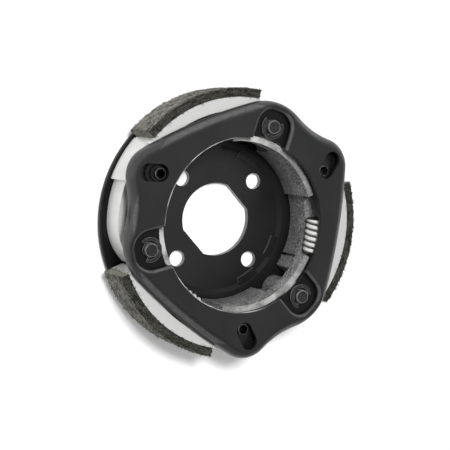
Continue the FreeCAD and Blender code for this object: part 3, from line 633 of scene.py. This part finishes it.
dress("back_plate", finishes["back_plate"], 0.25, "plates")
dress("front_plate", finishes["front_plate"], 0.24, "plates")
dress("retaining_clips", finishes["clip"], 0.1, "plates")
dress("pivot_washers", finishes["pin"], 0.08, "plates")
shoeCount = 3
for number in range(1, shoeCount + 1):
    arm = "shoe_arm_%d" % number
    nextArm = "shoe_arm_%d" % ((number - 2) % shoeCount + 1)
    dress("pivot_pin_%d" % number, finishes["pin"], 0.14, "plates")
    dress("shoe_%d" % number, finishes["shoe"], 0.35, arm, 3)
    fray(dress("lining_%d" % number, finishes["lining"], 0, arm), friction)
    makeFibres("lining_%d" % number, number, friction, arm)
    dress("spring_anchor_pin_%d" % number, finishes["pin"], 0.08, arm)
    dress("preload_adjuster_%d" % number, finishes["adjuster"], 0.12,
          "adjuster_%d" % number, rub=steels["adjuster"])
    dressSpring(number, springLie, arm, nextArm)
print("pieces dressed")

studio = {
    "floorSize": 4.0,
    "floorDrop": 0.05,
    "floorRoughness": 0.9,
    "floorColour": (0.92, 0.92, 0.92),
    "floorGlow": 0.18,
    "worldLight": 0.22,
    "mirrored": 0.64,
    "mirroredSlope": (0.30, 0.60, 0.0),
    "keyPower": 7.5,
    "keySize": 0.18,
    "keyPlace": (-0.20, 0.24, 0.81),
    "fillPower": 1.4,
    "fillPlace": (-0.80, 0.10, 0.30),
    "fillSize": 0.6,
}


def makeFloor(look):
    shape = bmesh.new()
    bmesh.ops.create_grid(shape, x_segments=1, y_segments=1, size=look["floorSize"])
    bmesh.ops.translate(shape, verts=shape.verts, vec=(0, 0, -look["floorDrop"] * mm))
    mesh = bpy.data.meshes.new("floor")
    shape.to_mesh(mesh)
    shape.free()
    finish = Finish("floor_white")
    finish.set(baseColor=look["floorColour"], roughness=look["floorRoughness"])
    glow = finish.add("ShaderNodeEmission", None, {"Color": (1, 1, 1), "Strength": look["floorGlow"]})
    plain = Signal(finish, finish.shader.outputs[0])
    both = finish.add("ShaderNodeAddShader", None, {0: plain, 1: glow})
    ray = finish.tree.nodes.new("ShaderNodeLightPath").outputs
    seen = Signal(finish, ray["Is Camera Ray"]).most(Signal(finish, ray["Is Glossy Ray"]))
    seen = seen.most(Signal(finish, ray["Is Transmission Ray"]))
    chosen = finish.add("ShaderNodeMixShader", None, {0: seen, 1: plain, 2: both})
    output = finish.tree.nodes["Material Output"]
    finish.tree.links.new(chosen.socket, output.inputs["Surface"])
    mesh.materials.append(finish.material)
    floor = bpy.data.objects.new("floor", mesh)
    bpy.context.scene.collection.objects.link(floor)


# a pale room: white to the camera, and in reflections brighter towards the back and the right
def makeWorld(look):
    world = bpy.data.worlds.new("studio")
    bpy.context.scene.world = world
    world.use_nodes = True
    tree = world.node_tree
    light = tree.nodes["Background"]
    light.inputs["Color"].default_value = (1, 1, 1, 1)
    light.inputs["Strength"].default_value = look["worldLight"]
    white = tree.nodes.new("ShaderNodeBackground")
    mirrored = tree.nodes.new("ShaderNodeBackground")
    place = tree.nodes.new("ShaderNodeTexCoord")
    slope = tree.nodes.new("ShaderNodeVectorMath")
    slope.operation = "DOT_PRODUCT"
    slope.inputs[1].default_value = look["mirroredSlope"]
    tree.links.new(place.outputs["Generated"], slope.inputs[0])
    level = tree.nodes.new("ShaderNodeMath")
    level.operation = "ADD"
    level.inputs[1].default_value = look["mirrored"]
    tree.links.new(slope.outputs["Value"], level.inputs[0])
    tree.links.new(level.outputs[0], mirrored.inputs["Strength"])
    ray = tree.nodes.new("ShaderNodeLightPath")
    seen = tree.nodes.new("ShaderNodeMath")
    seen.operation = "MAXIMUM"
    tree.links.new(ray.outputs["Is Camera Ray"], seen.inputs[0])
    tree.links.new(ray.outputs["Is Transmission Ray"], seen.inputs[1])
    glossy = tree.nodes.new("ShaderNodeMixShader")
    tree.links.new(ray.outputs["Is Glossy Ray"], glossy.inputs[0])
    tree.links.new(light.outputs[0], glossy.inputs[1])
    tree.links.new(mirrored.outputs[0], glossy.inputs[2])
    choice = tree.nodes.new("ShaderNodeMixShader")
    tree.links.new(seen.outputs[0], choice.inputs[0])
    tree.links.new(glossy.outputs[0], choice.inputs[1])
    tree.links.new(white.outputs[0], choice.inputs[2])
    tree.links.new(choice.outputs[0], tree.nodes["World Output"].inputs["Surface"])


def makeLamp(name, place, power, size, mirrored):
    light = bpy.data.lights.new(name, "AREA")
    light.energy = power
    light.size = size
    lamp = bpy.data.objects.new(name, light)
    lamp.location = place
    lamp.rotation_euler = (-Vector(place)).to_track_quat("-Z", "Y").to_euler()
    lamp.visible_glossy = mirrored
    bpy.context.scene.collection.objects.link(lamp)


makeFloor(studio)
makeWorld(studio)
makeLamp("key", studio["keyPlace"], studio["keyPower"], studio["keySize"], False)
makeLamp("fill", studio["fillPlace"], studio["fillPower"], studio["fillSize"], True)
print("studio lit")

viewpoint = {
    "place": (-0.206666, 0.032106, 0.41652),
    "turn": (-6.0314, -26.6929, 3.9958),
    "lens": 92.0,
    "sensor": 36.0,
    "nearest": 0.01,
}
camera = bpy.data.objects.new("camera", bpy.data.cameras.new("camera"))
camera.location = viewpoint["place"]
camera.rotation_euler = Euler([math.radians(angle) for angle in viewpoint["turn"]], "XYZ")
camera.data.lens = viewpoint["lens"]
camera.data.sensor_width = viewpoint["sensor"]
camera.data.clip_start = viewpoint["nearest"]
bpy.context.scene.collection.objects.link(camera)
bpy.context.scene.camera = camera
bpy.context.scene.view_settings.view_transform = "Standard"
